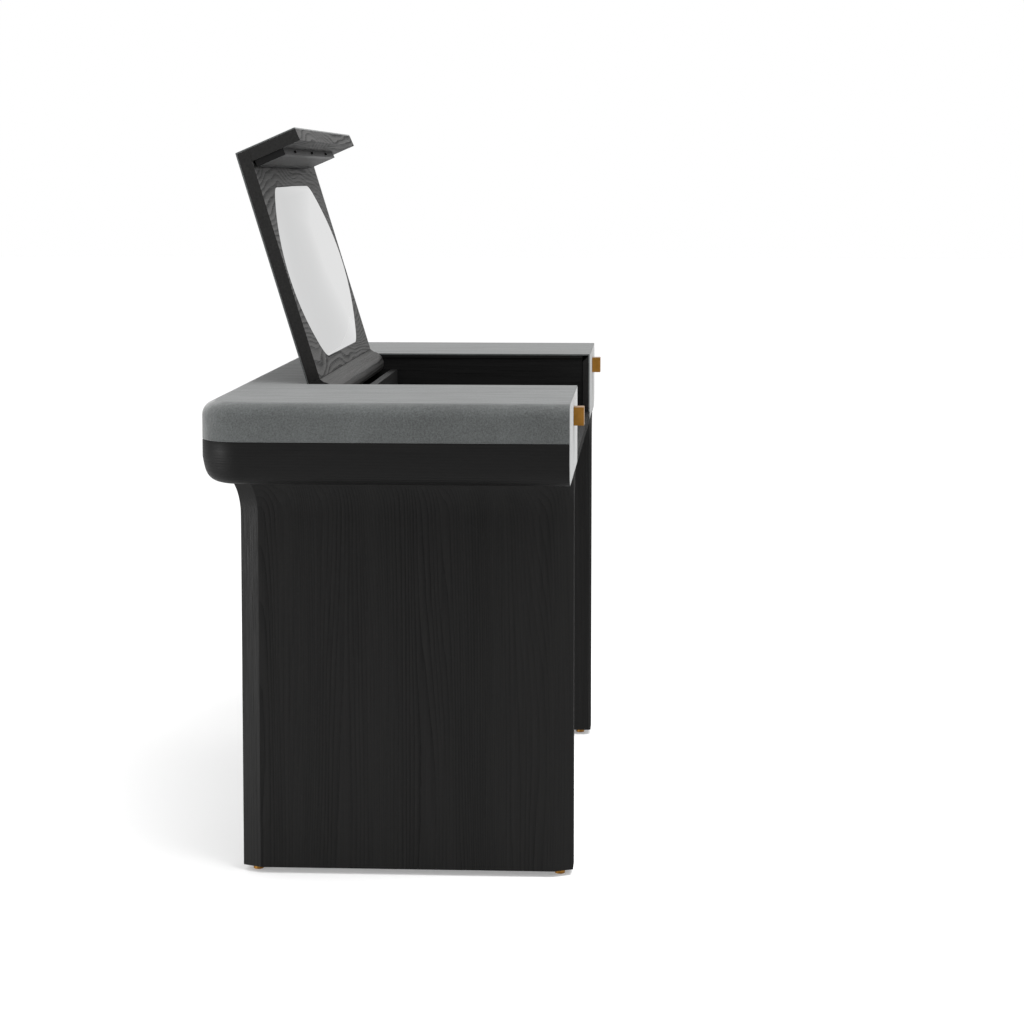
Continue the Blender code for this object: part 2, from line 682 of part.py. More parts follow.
def make_light(axis):
    back = LID_THICKNESS + GAP
    face = back + LIGHT_THICKNESS
    low, high = DIFFUSER_INSET, LIGHT_DEPTH - DIFFUSER_FRONT
    floor = face - DIFFUSER_THICKNESS
    left, right = LIGHT_LEFT + DIFFUSER_INSET, LIGHT_RIGHT - DIFFUSER_INSET
    box = lid_prism("light_box", light_section(LIGHT_SETBACK, LIGHT_DEPTH, back, face),
                    LIGHT_LEFT, LIGHT_RIGHT)
    window = lid_prism("diffuser_recess", light_section(low - GAP, high + GAP, floor, face + FAR),
                       left - GAP, right + GAP)
    finish_cutter(window).parent = axis
    cut(box, window)
    diffuser = lid_prism("light_diffuser", light_section(low, high, floor + GAP, face - GAP), left, right)
    finish_part(diffuser, "opal", axis)

    def on_edge(x, reach):
        """A point at half the bar's thickness, level with its front edge plus reach."""
        place = fascia_point(light_start() + LIGHT_DEPTH + reach, back + LIGHT_THICKNESS / 2)
        return (x, *lid_point(*place))

    for label, share in SCREW_SHARES.items():
        x = LIGHT_LEFT + (LIGHT_RIGHT - LIGHT_LEFT) * share
        hole = add_cylinder("screw_hole_" + label, SCREW_RADIUS + SCREW_CLEARANCE,
                            on_edge(x, -SCREW_HOLE), on_edge(x, FAR), segments=16)
        finish_cutter(hole).parent = axis
        cut(box, hole)
        screw = add_cylinder("light_screw_" + label, SCREW_RADIUS, on_edge(x, -SCREW_SUNK),
                             on_edge(x, SCREW_PROUD), segments=16)
        finish_part(screw, "steel", axis)
    finish_part(box, "black_metal", axis)


def main():
    cutters = make_cutters()
    for label, side in (("left", -1), ("right", 1)):
        make_leg(label, side, cutters)
    make_case(cutters)
    make_compartment(cutters)
    for label, side in (("left", -1), ("right", 1)):
        make_drawer(label, side)
    make_lid()


main()
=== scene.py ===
"""Looks of the vanity table: materials, leather skins, fine wood shapes, studio and camera."""
import json
import math

import bmesh
import bpy
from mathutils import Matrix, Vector


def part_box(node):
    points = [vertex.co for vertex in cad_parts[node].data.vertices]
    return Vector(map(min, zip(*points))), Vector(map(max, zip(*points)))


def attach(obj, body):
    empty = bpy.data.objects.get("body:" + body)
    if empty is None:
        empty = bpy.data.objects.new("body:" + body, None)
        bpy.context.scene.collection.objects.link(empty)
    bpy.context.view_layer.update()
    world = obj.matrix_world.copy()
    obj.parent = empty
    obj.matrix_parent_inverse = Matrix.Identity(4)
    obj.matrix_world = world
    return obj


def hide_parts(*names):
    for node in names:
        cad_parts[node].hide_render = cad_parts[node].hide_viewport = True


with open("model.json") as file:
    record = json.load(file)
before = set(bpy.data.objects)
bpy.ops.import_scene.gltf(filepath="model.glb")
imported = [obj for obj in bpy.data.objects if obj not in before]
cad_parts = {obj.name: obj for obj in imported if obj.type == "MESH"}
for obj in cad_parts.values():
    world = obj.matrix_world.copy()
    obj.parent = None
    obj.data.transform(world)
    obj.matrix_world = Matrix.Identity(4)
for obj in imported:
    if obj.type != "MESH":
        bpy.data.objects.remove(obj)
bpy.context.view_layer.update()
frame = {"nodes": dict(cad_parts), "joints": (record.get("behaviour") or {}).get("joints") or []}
NODES = frame["nodes"]


# ---- studio -------------------------------------------------------------------
CAMERA_LENS = 89.3                             # mm, on a 36 mm sensor
CAMERA_SHIFT = -0.12
CAMERA_PLACE = (-4.390, -0.3955, 1.0785)
CAMERA_YAW, CAMERA_PITCH = math.radians(3.308), math.radians(4.744)
FLOOR_TONE = 0.75
FLOOR_GLOW = 0.255                             # keeps the floor pale where no lamp reaches


def make_camera():
    camera = bpy.data.cameras.new("camera")
    camera.lens = CAMERA_LENS
    camera.sensor_width = 36.0
    camera.shift_y = CAMERA_SHIFT
    obj = bpy.data.objects.new("camera", camera)
    bpy.context.scene.collection.objects.link(obj)
    obj.location = CAMERA_PLACE
    level = math.cos(CAMERA_PITCH)
    ahead = Vector((math.cos(CAMERA_YAW) * level, math.sin(CAMERA_YAW) * level, -math.sin(CAMERA_PITCH)))
    obj.rotation_euler = ahead.to_track_quat("-Z", "Y").to_euler()
    bpy.context.scene.camera = obj


def make_area_light(name, location, target, size, watts):
    light = bpy.data.lights.new(name, "AREA")
    light.shape = "RECTANGLE"
    light.size, light.size_y = size
    light.energy = watts
    obj = bpy.data.objects.new(name, light)
    bpy.context.scene.collection.objects.link(obj)
    obj.location = location
    obj.rotation_euler = (Vector(target) - Vector(location)).to_track_quat("-Z", "Y").to_euler()


def make_studio():
    world = bpy.data.worlds.new("studio")
    world.use_nodes = True
    background = world.node_tree.nodes["Background"]
    background.inputs["Color"].default_value = (1.0, 1.0, 1.0, 1.0)
    background.inputs["Strength"].default_value = 1.0
    bpy.context.scene.world = world
    bpy.context.scene.view_settings.view_transform = "Standard"
    make_area_light("top_softbox", (-0.9, -0.9, 3.0), (-0.2, 0.0, 0.6), (1.8, 2.0), 110.0)
    make_area_light("rear_strip", (-2.0, 2.6, 0.31), (-0.5, 0.2, 0.31), (0.6, 0.5), 62.0)
    bpy.ops.mesh.primitive_plane_add(size=60.0, location=(0.0, 0.0, 0.0))
    floor = bpy.context.active_object
    floor.name = "studio_floor"
    material = bpy.data.materials.new("pale_floor")
    material.use_nodes = True
    shader = material.node_tree.nodes["Principled BSDF"]
    shader.inputs["Base Color"].default_value = (FLOOR_TONE, FLOOR_TONE, FLOOR_TONE, 1.0)
    shader.inputs["Roughness"].default_value = 0.9
    shader.inputs["Emission Color"].default_value = (1.0, 1.0, 1.0, 1.0)
    shader.inputs["Emission Strength"].default_value = FLOOR_GLOW
    floor.data.materials.append(material)


make_camera()
make_studio()


# ---- materials ------------------------------------------------------------------
class Graph:
    """A material's nodes, added and wired with short calls."""

    def __init__(self, name):
        self.material = bpy.data.materials.new(name)
        self.material.use_nodes = True
        self.tree = self.material.node_tree
        self.shader = self.tree.nodes["Principled BSDF"]

    def put(self, node, socket, value):
        target = node.inputs[socket]
        if isinstance(value, bpy.types.NodeSocket):
            self.tree.links.new(value, target)
        else:
            target.default_value = value

    def add(self, kind, inputs=(), **settings):
        node = self.tree.nodes.new(kind)
        for key, value in settings.items():
            setattr(node, key, value)
        for socket, value in dict(inputs).items():
            self.put(node, socket, value)
        return node

    def object_coordinates(self):
        return self.add("ShaderNodeTexCoord").outputs["Object"]

    def mapped(self, vector, location=(0, 0, 0), turn=(0, 0, 0), scale=(1, 1, 1)):
        turn = tuple(math.radians(angle) for angle in turn)
        inputs = {"Vector": vector, "Location": location, "Rotation": turn, "Scale": scale}
        return self.add("ShaderNodeMapping", inputs).outputs["Vector"]

    def noise(self, vector, scale, detail=2.0, roughness=0.5, distortion=0.0):
        inputs = {"Vector": vector, "Scale": scale, "Detail": detail,
                  "Roughness": roughness, "Distortion": distortion}
        return self.add("ShaderNodeTexNoise", inputs).outputs["Fac"]

    def math(self, operation, first, second=0.0):
        return self.add("ShaderNodeMath", {0: first, 1: second}, operation=operation).outputs[0]

    def scaled(self, value, factor):
        return self.math("MULTIPLY", value, factor)

    def remap(self, value, low, high, new_low=0.0, new_high=1.0):
        inputs = {"Value": value, "From Min": low, "From Max": high, "To Min": new_low, "To Max": new_high}
        return self.add("ShaderNodeMapRange", inputs).outputs["Result"]

    def mix_colour(self, factor, first, second, blend="MIX"):
        node = self.add("ShaderNodeMix", data_type="RGBA", blend_type=blend)
        self.put(node, 0, factor)
        self.put(node, 6, first if isinstance(first, bpy.types.NodeSocket) else (*first, 1.0))
        self.put(node, 7, second if isinstance(second, bpy.types.NodeSocket) else (*second, 1.0))
        return node.outputs[2]

    def bump(self, height, strength, distance, normal=None):
        inputs = {"Height": height, "Strength": strength, "Distance": distance}
        if normal is not None:
            inputs["Normal"] = normal
        return self.add("ShaderNodeBump", inputs).outputs["Normal"]

    def shade(self, **values):
        for socket, value in values.items():
            self.put(self.shader, socket.replace("_", " "), value)
        return self.material


def leather_material(name):
    """Matt nubuck: a brushed, cloudy nap over a very fine pebble."""
    base = (0.046, 0.0495, 0.049)
    g = Graph(name)
    at = g.object_coordinates()
    clouds = g.noise(at, 7.0, 4.0, 0.6, 0.6)
    brushed = g.noise(g.mapped(at, scale=(1.0, 0.6, 1.4)), 48.0, 5.0, 0.7, 0.3)
    nap = g.noise(at, 300.0, 3.0, 0.65)
    specks = g.noise(at, 520.0, 2.0, 0.6)
    tone = g.math("ADD", g.remap(clouds, 0.3, 0.7, -0.14, 0.14), g.remap(brushed, 0.3, 0.7, -0.11, 0.11))
    tone = g.math("ADD", tone, g.remap(nap, 0.3, 0.7, -0.20, 0.20))
    tone = g.math("ADD", tone, g.remap(specks, 0.3, 0.7, -0.24, 0.24))
    light = g.math("ADD", tone, 0.5)
    dark_side = tuple(channel * 0.45 for channel in base)
    pale_side = tuple(channel * 1.55 for channel in base)
    colour = g.mix_colour(light, dark_side, pale_side)
    pebble = g.add("ShaderNodeTexVoronoi", {"Vector": at, "Scale": 620.0}).outputs["Distance"]
    creases = g.noise(at, 150.0, 3.0, 0.6)
    height = g.math("ADD", g.scaled(pebble, 0.5), g.scaled(creases, 0.8))
    padding = g.noise(g.mapped(at, scale=(1.0, 0.3, 1.0)), 30.0, 3.0, 0.5)
    normal = g.bump(height, 0.40, 0.0006, g.bump(padding, 0.70, 0.004))
    rough = g.remap(brushed, 0.3, 0.7, 0.72, 0.88)
    return g.shade(Base_Color=colour, Roughness=rough, Normal=normal, Sheen_Weight=0.32,
                   Sheen_Roughness=0.50, Specular_IOR_Level=0.18)


def wood_layers(g, along, seed, centre, waver, stretch, spacing, sharp):
    """Ring lines, open pores and streaks of ash, for coordinates whose Z is the grain."""
    shifted = g.mapped(along, location=centre)
    wavy = g.noise(g.mapped(along, location=(seed, seed, 0), scale=(1.0, 1.0, stretch)), 7.0, 2.0, 0.45)
    fine_wavy = g.noise(g.mapped(along, location=(0, seed, 0), scale=(1.0, 1.0, 0.07)), 60.0, 3.0, 0.6)
    split = g.add("ShaderNodeSeparateXYZ", {"Vector": shifted})
    reach = g.math("SQRT", g.math("ADD", g.math("POWER", split.outputs[0], 2.0),
                                  g.math("POWER", split.outputs[1], 2.0)))
    reach = g.math("ADD", reach, g.math("MULTIPLY", wavy, waver))
    reach = g.math("ADD", reach, g.math("MULTIPLY", fine_wavy, 0.0030))
    early = g.math("POWER", g.math("FRACT", g.math("DIVIDE", reach, spacing)), sharp)
    groups = g.noise(g.mapped(along, location=(0, 0, seed), scale=(1.0, 1.0, 0.05)), 22.0, 2.0, 0.5)
    early = g.math("MULTIPLY", early, g.remap(groups, 0.38, 0.62, 0.35, 1.0))
    pores = g.noise(g.mapped(along, scale=(1.0, 1.0, 0.02)), 1300.0, 2.0, 0.6)
    streaks = g.noise(g.mapped(along, location=(seed, seed, 0), scale=(1.0, 1.0, 0.020)), 300.0, 3.0, 0.6)
    return early, pores, streaks


def grain_turned(g, at, grain):
    """Coordinates turned so that the grain runs along Z."""
    turns = {"Z": (0, 0, 0), "X": (0, -90, 0), "Y": (90, 0, 0)}
    return g.mapped(at, turn=turns[grain])


def facing_parts(g):
    """X, Y and Z of the surface's normal."""
    normal = g.add("ShaderNodeNewGeometry").outputs["Normal"]
    return g.add("ShaderNodeSeparateXYZ", {"Vector": normal}).outputs


def grain_round_corners(g):
    """Coordinates that follow the moulding round its corners, with Z along it."""
    unrolled = g.add("ShaderNodeUVMap", uv_map="moulding").outputs["UV"]
    split = g.add("ShaderNodeSeparateXYZ", {"Vector": unrolled})
    return g.add("ShaderNodeCombineXYZ", {"X": split.outputs[1], "Z": split.outputs[0]}).outputs["Vector"]


PORE_COLOUR = (0.0012, 0.0012, 0.0012)
END_GRAIN = 0.7                                # share of X in the normal from which rings stop and the end faces darken, partly with painted shade
SQUARE_ON = 0.9                                # share of Y from which a front face turns matt


def ash_material(name, grain="Z", dark=(0.0012, 0.0012, 0.0012), pale=(0.0080, 0.0078, 0.0076), seed=0.0,
                 centre=(0.0, -0.5, 0.0), tilt=0.0, waver=0.15, stretch=0.07, spacing=0.0040,
                 sharp=2.5, rings=0.60, specular=0.10, quiet_shaded_ends=False, matt_front=False):
    """Black-stained, open-grained ash, with its grain along one axis.

    quiet_shaded_ends leaves the rings off the end grain and pulls the end faces most of the way to the
    dark tone, partly the end grain's deeper stain and partly painted shade; matt_front takes the gloss off
    the faces that look along Y, front and back.
    """
    g = Graph(name)
    at = g.object_coordinates()
    if tilt:
        at = g.mapped(at, turn=(tilt, 0, 0))
    along = grain_round_corners(g) if grain == "round" else grain_turned(g, at, grain)
    early, pores, streaks = wood_layers(g, along, seed, centre, waver, stretch, spacing, sharp)
    shade = 1.0
    if quiet_shaded_ends:
        shade = g.math("LESS_THAN", g.math("ABSOLUTE", facing_parts(g)[0]), END_GRAIN)
        early = g.math("MULTIPLY", early, shade)
    open_pores = g.math("MULTIPLY", g.remap(pores, 0.54, 0.70), g.math("ADD", g.scaled(early, 0.8), 0.2))
    amount = g.math("ADD", g.scaled(g.remap(streaks, 0.3, 0.75), 0.45), g.scaled(early, -rings))
    # End faces (shade 0) keep a fifth of the tone mix, towards the dark: partly the end grain's deeper
    # stain, partly painted shade beside the pale, painted-sheen base.
    amount = g.math("MULTIPLY", g.math("ADD", amount, 0.42), g.math("ADD", g.scaled(shade, 0.80), 0.20))
    colour = g.mix_colour(amount, dark, pale)
    colour = g.mix_colour(g.scaled(open_pores, 0.6), colour, PORE_COLOUR)
    height = g.math("SUBTRACT", g.scaled(streaks, 0.35), g.scaled(open_pores, 0.9))
    height = g.math("SUBTRACT", height, g.scaled(early, 1.5 * rings))
    normal = g.bump(height, 0.6, 0.0006)
    rough = g.remap(streaks, 0.3, 0.7, 0.43, 0.60)
    if matt_front:
        sideways = g.math("ABSOLUTE", facing_parts(g)[1])
        rough = g.math("MAXIMUM", rough, g.math("GREATER_THAN", sideways, SQUARE_ON))
    return g.shade(Base_Color=colour, Roughness=rough, Normal=normal, Specular_IOR_Level=specular)


def board_material(name):
    """Black-stained board inside the case."""
    base = (0.006, 0.006, 0.006)
    dark, pale = tuple(0.5 * channel for channel in base), tuple(1.4 * channel for channel in base)
    return ash_material(name, "Y", dark, pale, 3.0, specular=0.06)


def brass_material(name):
    """Brushed brass, with fine lines across and a slightly uneven tone."""
    base = (0.31, 0.150, 0.030)
    g = Graph(name)
    at = g.object_coordinates()
    lines = g.noise(g.mapped(at, scale=(1.0, 1.0, 0.03)), 2600.0, 2.0, 0.6)
    clouds = g.noise(at, 60.0, 3.0, 0.6)
    darker = tuple(0.72 * channel for channel in base)
    colour = g.mix_colour(g.remap(clouds, 0.3, 0.7), darker, base)
    normal = g.bump(lines, 0.25, 0.0002)
    rough = g.remap(lines, 0.3, 0.7, 0.30, 0.46)
    return g.shade(Base_Color=colour, Roughness=rough, Metallic=1.0, Normal=normal)


def steel_material(name):
    """Drawn steel, with fine lines along its length."""
    g = Graph(name)
    at = g.object_coordinates()
    lines = g.noise(g.mapped(at, scale=(1.0, 0.03, 1.0)), 1800.0, 2.0, 0.6)
    colour = g.mix_colour(lines, (0.30, 0.30, 0.31), (0.48, 0.48, 0.49))
    rough = g.remap(lines, 0.3, 0.7, 0.28, 0.45)
    return g.shade(Base_Color=colour, Roughness=rough, Metallic=1.0, Normal=g.bump(lines, 0.2, 0.0002))


def mirror_material(name):
    """Silvered glass: a clean reflection with a trace of haze."""
    g = Graph(name)
    haze = g.noise(g.object_coordinates(), 9.0, 3.0, 0.6)
    colour = g.mix_colour(g.remap(haze, 0.3, 0.7), (0.735, 0.74, 0.74), (0.752, 0.757, 0.757))
    return g.shade(Base_Color=colour, Roughness=0.02, Metallic=1.0, Specular_Tint=(0.77, 0.77, 0.77, 1.0))


def paint_material(name, base, roughness, texture, specular):
    """Powder coat or moulded plastic with a fine, even texture."""
    g = Graph(name)
    at = g.object_coordinates()
    grain = g.noise(at, texture, 2.0, 0.6)
    clouds = g.noise(at, 12.0, 3.0, 0.6)
    pale = tuple(1.25 * channel for channel in base)
    colour = g.mix_colour(clouds, base, pale)
    rough = g.remap(grain, 0.3, 0.7, roughness - 0.06, roughness + 0.06)
    return g.shade(Base_Color=colour, Roughness=rough, Normal=g.bump(grain, 0.15, 0.0003),
                   Specular_IOR_Level=specular)


def dress(node, material):
    """Give a CAD node its final material."""
    data = NODES[node].data
    data.materials.clear()
    data.materials.append(material)


LID_TILT = 17.0
LEATHER = leather_material("nubuck_leather")
ASH_LEG = ash_material("ash_legs", "Z", matt_front=True)
ASH_FRONT = ash_material("ash_fronts", "X", seed=4.1)
# The lid's ash has a base many times paler than the legs' black ash: painted sheen, the pale of a grazing
# reflection put into its colour, with its end faces kept dark against it.
ASH_LID_PAINTED_SHEEN = ash_material("ash_lid", "X", (0.0030, 0.0030, 0.0029), (0.066, 0.065, 0.0635), 1.7,
                       tilt=LID_TILT, waver=0.16, stretch=0.30, spacing=0.0085, sharp=2.4, rings=1.4,
                       specular=0.07, quiet_shaded_ends=True)
# The hinge roll's ash is made pale in the same way: painted sheen in its base colour.
ASH_ROLL_PAINTED_SHEEN = ash_material("ash_roll_painted_sheen", "X", (0.0030, 0.0030, 0.0029), (0.060, 0.059, 0.0575), 2.6,
                        tilt=LID_TILT, waver=0.05, spacing=0.0060, rings=1.0, specular=0.07,
                        quiet_shaded_ends=True)
ASH_ALONG = ash_material("ash_along", "X", seed=2.3, matt_front=True)
ASH_DEEP = ash_material("ash_deep", "Y", (0.0015, 0.0015, 0.0015), (0.006, 0.006, 0.006), 2.9,
                        specular=0.05)
ASH_ROUND = ash_material("ash_round", "round", (0.0006, 0.0006, 0.0006), (0.0036, 0.0035, 0.0034), 5.3,
                         centre=(-0.5, 0.0, 0.0), waver=0.06, spacing=0.0050, sharp=3.0, rings=1.0,
                         specular=0.11)
BOARD = board_material("stained_board")
BRASS = brass_material("brushed_brass")
STEEL = steel_material("drawn_steel")
MIRROR = mirror_material("silvered_glass")
BAR_PAINT = paint_material("light_bar_paint", (0.005, 0.005, 0.005), 0.40, 900.0, 0.06)
OPAL = paint_material("smoked_diffuser", (0.020, 0.020, 0.019), 0.50, 400.0, 0.10)


def finish_for(node):
    if node.startswith(("leather_top", "lid_leather", "drawer_facing")):
        return LEATHER
    if node.startswith(("foot_", "pull_", "hinge_bush")):
        return BRASS
    if node.startswith(("runner", "leg_plate", "hinge_pin")):
        return STEEL
    if node.startswith("lid_"):
        return ASH_LID_PAINTED_SHEEN
    if node.startswith(("rear_rail", "tray_rail", "bottom_panel")):
        return ASH_ALONG
    if node.startswith("partition"):
        return ASH_DEEP
    if node.startswith(("light_box", "light_screw")):
        return BAR_PAINT
    return {"mirror_glass": MIRROR, "light_diffuser": OPAL}.get(node, BOARD)


# ---- sizes read from the frame -----------------------------------------------------
def box_low(node):
    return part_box(node)[0]


def box_high(node):
    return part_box(node)[1]


GAP = 0.0003                                   # between touching pieces
HALF = box_high("lower_shell").x
BACK = box_high("lower_shell").y
FRONT = box_low("drawer_facing_left").y
HEIGHT = box_high("leather_top").z
CASE_BOTTOM = box_low("lower_shell").z
LEATHER_EDGE = box_high("lower_shell").z
OPENING = box_high("rear_rail").x
LIP_Y = box_low("rear_rail").y
LEATHER_THICK = box_high("drawer_facing_left").y - FRONT
BOARD_THICK = box_high("bottom_panel").z - box_low("bottom_panel").z
LEG_LOW, LEG_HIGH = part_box("leg_right")
PLATE_LOW, PLATE_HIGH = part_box("leg_plate_right")
LID_HALF = box_high("lid_leather").x
HINGE = next(joint for joint in frame["joints"] if joint["name"] == "lid_hinge")
PIVOT = Vector(HINGE["pos_m"])
LID_ANGLE = math.radians(HINGE["range_deg"][1])

# shape choices that the boxes don't show
CORNER_RADIUS = 0.062
CROWN_RADIUS = 0.022
CURL_TOP = 0.667
CURL_REACH = 0.060
CURL_POWER = 4.0
CURL_LEAN = 0.17
LEG_THICK = 0.060
LEG_CHAMFER = (0.015, 0.029)
LEG_EASE = 0.004
FLARE_START = 0.560
FLARE_OUT = 0.026
FLARE_IN = 0.065
LEG_OVERRUN = 0.014                            # leg above the case's underside, before the cut
SHELL_COVE = 0.030                             # height over which the moulding thins to a board
FINEST_RADIUS = 0.0006
SHARP_FROM = math.radians(35)                  # edges at least this sharp aren't shaded smooth


# ---- mesh tools ---------------------------------------------------------------------
def new_object(name, mesh):
    bmesh.ops.recalc_face_normals(mesh, faces=mesh.faces)
    data = bpy.data.meshes.new(name)
    mesh.to_mesh(data)
    mesh.free()
    data.shade_smooth()
    data.set_sharp_from_angle(angle=SHARP_FROM)
    obj = bpy.data.objects.new(name, data)
    bpy.context.scene.collection.objects.link(obj)
    return obj


def bridge_rows(mesh, rows, closed):
    """Quads between equal-length rows of vertices."""
    count = len(rows[0])
    for lower, upper in zip(rows, rows[1:]):
        for i in range(count if closed else count - 1):
            j = (i + 1) % count
            mesh.faces.new((lower[i], lower[j], upper[j], upper[i]))


def loft(name, rings):
    """A closed solid through rings of points, with flat ends."""
    mesh = bmesh.new()
    rows = [[mesh.verts.new(point) for point in ring] for ring in rings]
    bridge_rows(mesh, rows, True)
    mesh.faces.new(rows[0])
    mesh.faces.new(rows[-1])
    return new_object(name, mesh)


def soften(obj, width, segments=3, angle=40.0):
    modifier = obj.modifiers.new("soft_edges", "BEVEL")
    modifier.width = width
    modifier.segments = segments
    modifier.limit_method = "ANGLE"
    modifier.angle_limit = math.radians(angle)
    modifier.harden_normals = True
    return obj


def subtract(obj, cutter):
    """Cut one closed mesh with another, and drop the cutter."""
    modifier = obj.modifiers.new("cut", "BOOLEAN")
    modifier.operation = "DIFFERENCE"
    modifier.object = cutter
    bpy.context.view_layer.update()
    graph = bpy.context.evaluated_depsgraph_get()
    data = bpy.data.meshes.new_from_object(obj.evaluated_get(graph))
    obj.modifiers.clear()
    obj.data = data
    data.set_sharp_from_angle(angle=SHARP_FROM)
    bpy.data.objects.remove(cutter, do_unlink=True)
    return obj


def place(obj, material, body, slot, *nodes):
    """Finish a rebuilt piece: its material, body and the CAD nodes it stands for; the slot argument is not
    used.
    """
    obj.data.materials.clear()
    obj.data.materials.append(material)
    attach(obj, body)
    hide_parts(*nodes)
    return obj


# ---- case ---------------------------------------------------------------------------
def case_path(inset, z, front, segments=18):
    """The case's outline from above, from its left front corner round the back."""
    radius = max(CORNER_RADIUS - inset, FINEST_RADIUS)
    cx, cy = HALF - inset - radius, BACK - inset - radius
    points = [(-HALF + inset, front, z), (-HALF + inset, front + 0.25 * (cy - front), z)]
    for side in (-1, 1):
        for step in range(segments + 1):
            turn = step if side == -1 else segments - step
            angle = math.pi / 2 * turn / segments
            points.append((side * (cx + radius * math.cos(angle)), cy + radius * math.sin(angle), z))
    points += [(HALF - inset, front + 0.25 * (cy - front), z), (HALF - inset, front, z)]
    return points


def quarter(steps):
    return [math.pi / 2 * step / steps for step in range(steps + 1)]


def curl_profile(steps=22):
    """(inset, z) of the curled underside, from the bottom upwards."""
    power = 2 / CURL_POWER
    depth = CURL_TOP - CASE_BOTTOM
    profile = []
    for a in quarter(steps):
        drop = depth * max(math.cos(a), 0.0) ** power
        inset = CURL_LEAN * drop + (CURL_REACH - CURL_LEAN * depth) * (1 - math.sin(a) ** power)
        profile.append((inset, CURL_TOP - drop))
    return profile


def make_leather_top():
    """One skin of leather over the top, the ends and the back, tucked in along its lower edge."""
    low = LEATHER_EDGE + GAP
    crown = HEIGHT - CROWN_RADIUS
    thick = LEATHER_THICK
    outer = [(0.0014, low), (0.0005, low + 0.0003), (0.0001, low + 0.0009), (0.0, low + 0.0018),
             (0.0, low + 0.012), (0.0, crown - 0.006)]
    outer += [(CROWN_RADIUS * (1 - math.cos(a)), crown + CROWN_RADIUS * math.sin(a)) for a in quarter(12)]
    reach = CROWN_RADIUS - thick
    inner = [(thick, low)] * 4 + [(thick, low + 0.012), (thick, crown - 0.006)]
    inner = [(inset, z + 0.0001 * i) for i, (inset, z) in enumerate(inner)]
    inner += [(CROWN_RADIUS - reach * math.cos(a), crown + reach * math.sin(a)) for a in quarter(12)]
    mesh = bmesh.new()
    sheets = []
    for profile, depth in ((outer, 0.0), (inner, thick)):
        front = FRONT + GAP + depth
        rows = [[mesh.verts.new(point) for point in case_path(inset, z, front)] for inset, z in profile]
        bridge_rows(mesh, rows, False)
        rear = LIP_Y + 0.7 * depth
        notch = [(OPENING, front), (OPENING, rear), (-OPENING, rear), (-OPENING, front)]
        edge = [mesh.verts.new((x, y, HEIGHT - depth)) for x, y in notch]
        mesh.faces.new(rows[-1] + edge)
        rim = rows[0] + [row[-1] for row in rows[1:]] + edge + [row[0] for row in reversed(rows[1:])]
        sheets.append(rim)
    bridge_rows(mesh, sheets, True)
    skin = soften(new_object("leather_cover", mesh), 0.0006, 3, 50.0)
    return place(skin, LEATHER, "root", "leather", "leather_top")


def unroll(mesh, loops):
    """UVs in metres: along the moulding, and across it, so that its grain turns the corners."""
    layer = mesh.loops.layers.uv.new("moulding")
    place_of = {}
    across = 0.0
    for i, loop in enumerate(loops):
        if i:
            across += (loop[0].co - loops[i - 1][0].co).length
        along = 0.0
        for j, vertex in enumerate(loop):
            if j:
                along += (loops[0][j].co - loops[0][j - 1].co).length
            place_of[vertex] = (along, across)
    for face in mesh.faces:
        for corner in face.loops:
            corner[layer].uv = place_of[corner.vert]


def make_lower_shell():
    """The curled black ash moulding round the ends and the back."""
    face = FRONT + GAP
    deep = face + BOARD_THICK
    floor_top = CASE_BOTTOM + BOARD_THICK
    rows = [(inset, z, face) for inset, z in curl_profile()]
    rows += [(0.0, LEATHER_EDGE - 0.0008, face), (0.0003, LEATHER_EDGE - 0.0002, face),
             (0.0010, LEATHER_EDGE, face), (BOARD_THICK, LEATHER_EDGE, deep),
             (BOARD_THICK, floor_top + SHELL_COVE, deep), (CURL_REACH, floor_top, deep)]
    mesh = bmesh.new()
    loops = [[mesh.verts.new(point) for point in case_path(*row)] for row in rows]
    bridge_rows(mesh, loops + [loops[0]], False)
    mesh.faces.new([loop[0] for loop in loops])
    mesh.faces.new([loop[-1] for loop in loops])
    unroll(mesh, loops)
    shell = new_object("curled_shell", mesh)
    return place(shell, ASH_ROUND, "root", "stained_ash", "lower_shell")


def block_outline(inset, side, y, inner_inset=0.0, steps=16):
    """Front view of a drawer block, shrunk by inset, and by inner_inset beside the opening."""
    inner = OPENING + GAP + inner_inset
    low = CASE_BOTTOM + inset
    stretch = (CURL_REACH - inset) / CURL_REACH
    depth = CURL_TOP - CASE_BOTTOM
    outline = [(inner, low)]
    for offset, z in curl_profile(steps):
        rise = (z - CASE_BOTTOM) / depth
        outline.append((HALF - inset - offset * stretch, low + rise * (CURL_TOP - low)))
    radius = max(CROWN_RADIUS - inset, FINEST_RADIUS)
    for a in quarter(8):
        x = HALF - inset - radius * (1 - math.cos(a))
        outline.append((x, HEIGHT - inset - radius * (1 - math.sin(a))))
    outline.append((inner, HEIGHT - inset))
    return [(side * x, y, z) for x, z in outline]


def make_drawer_front(label, side):
    """A mitred front board and its leather, which turns over the edges."""
    edge = 3 * GAP
    roll = ((0.0, 0.0017), (0.0002, 0.0009), (0.0006, 0.0003), (0.0012, 0.0))
    rings = [block_outline(edge + pull_in, side, FRONT + depth, pull_in) for depth, pull_in in roll]
    rings.append(block_outline(edge + LEATHER_THICK, side, FRONT + LEATHER_THICK))
    facing = loft("drawer_leather_" + label, rings)
    place(facing, LEATHER, "drawer_" + label, "leather", "drawer_facing_" + label)
    near, far = box_low("drawer_front_" + label).y, box_high("drawer_front_" + label).y
    rings = [block_outline(y - FRONT + edge, side, y) for y in (near, far)]
    board = soften(loft("drawer_board_" + label, rings), 0.0004, 2)
    place(board, ASH_FRONT, "drawer_" + label, "stained_ash", "drawer_front_" + label)


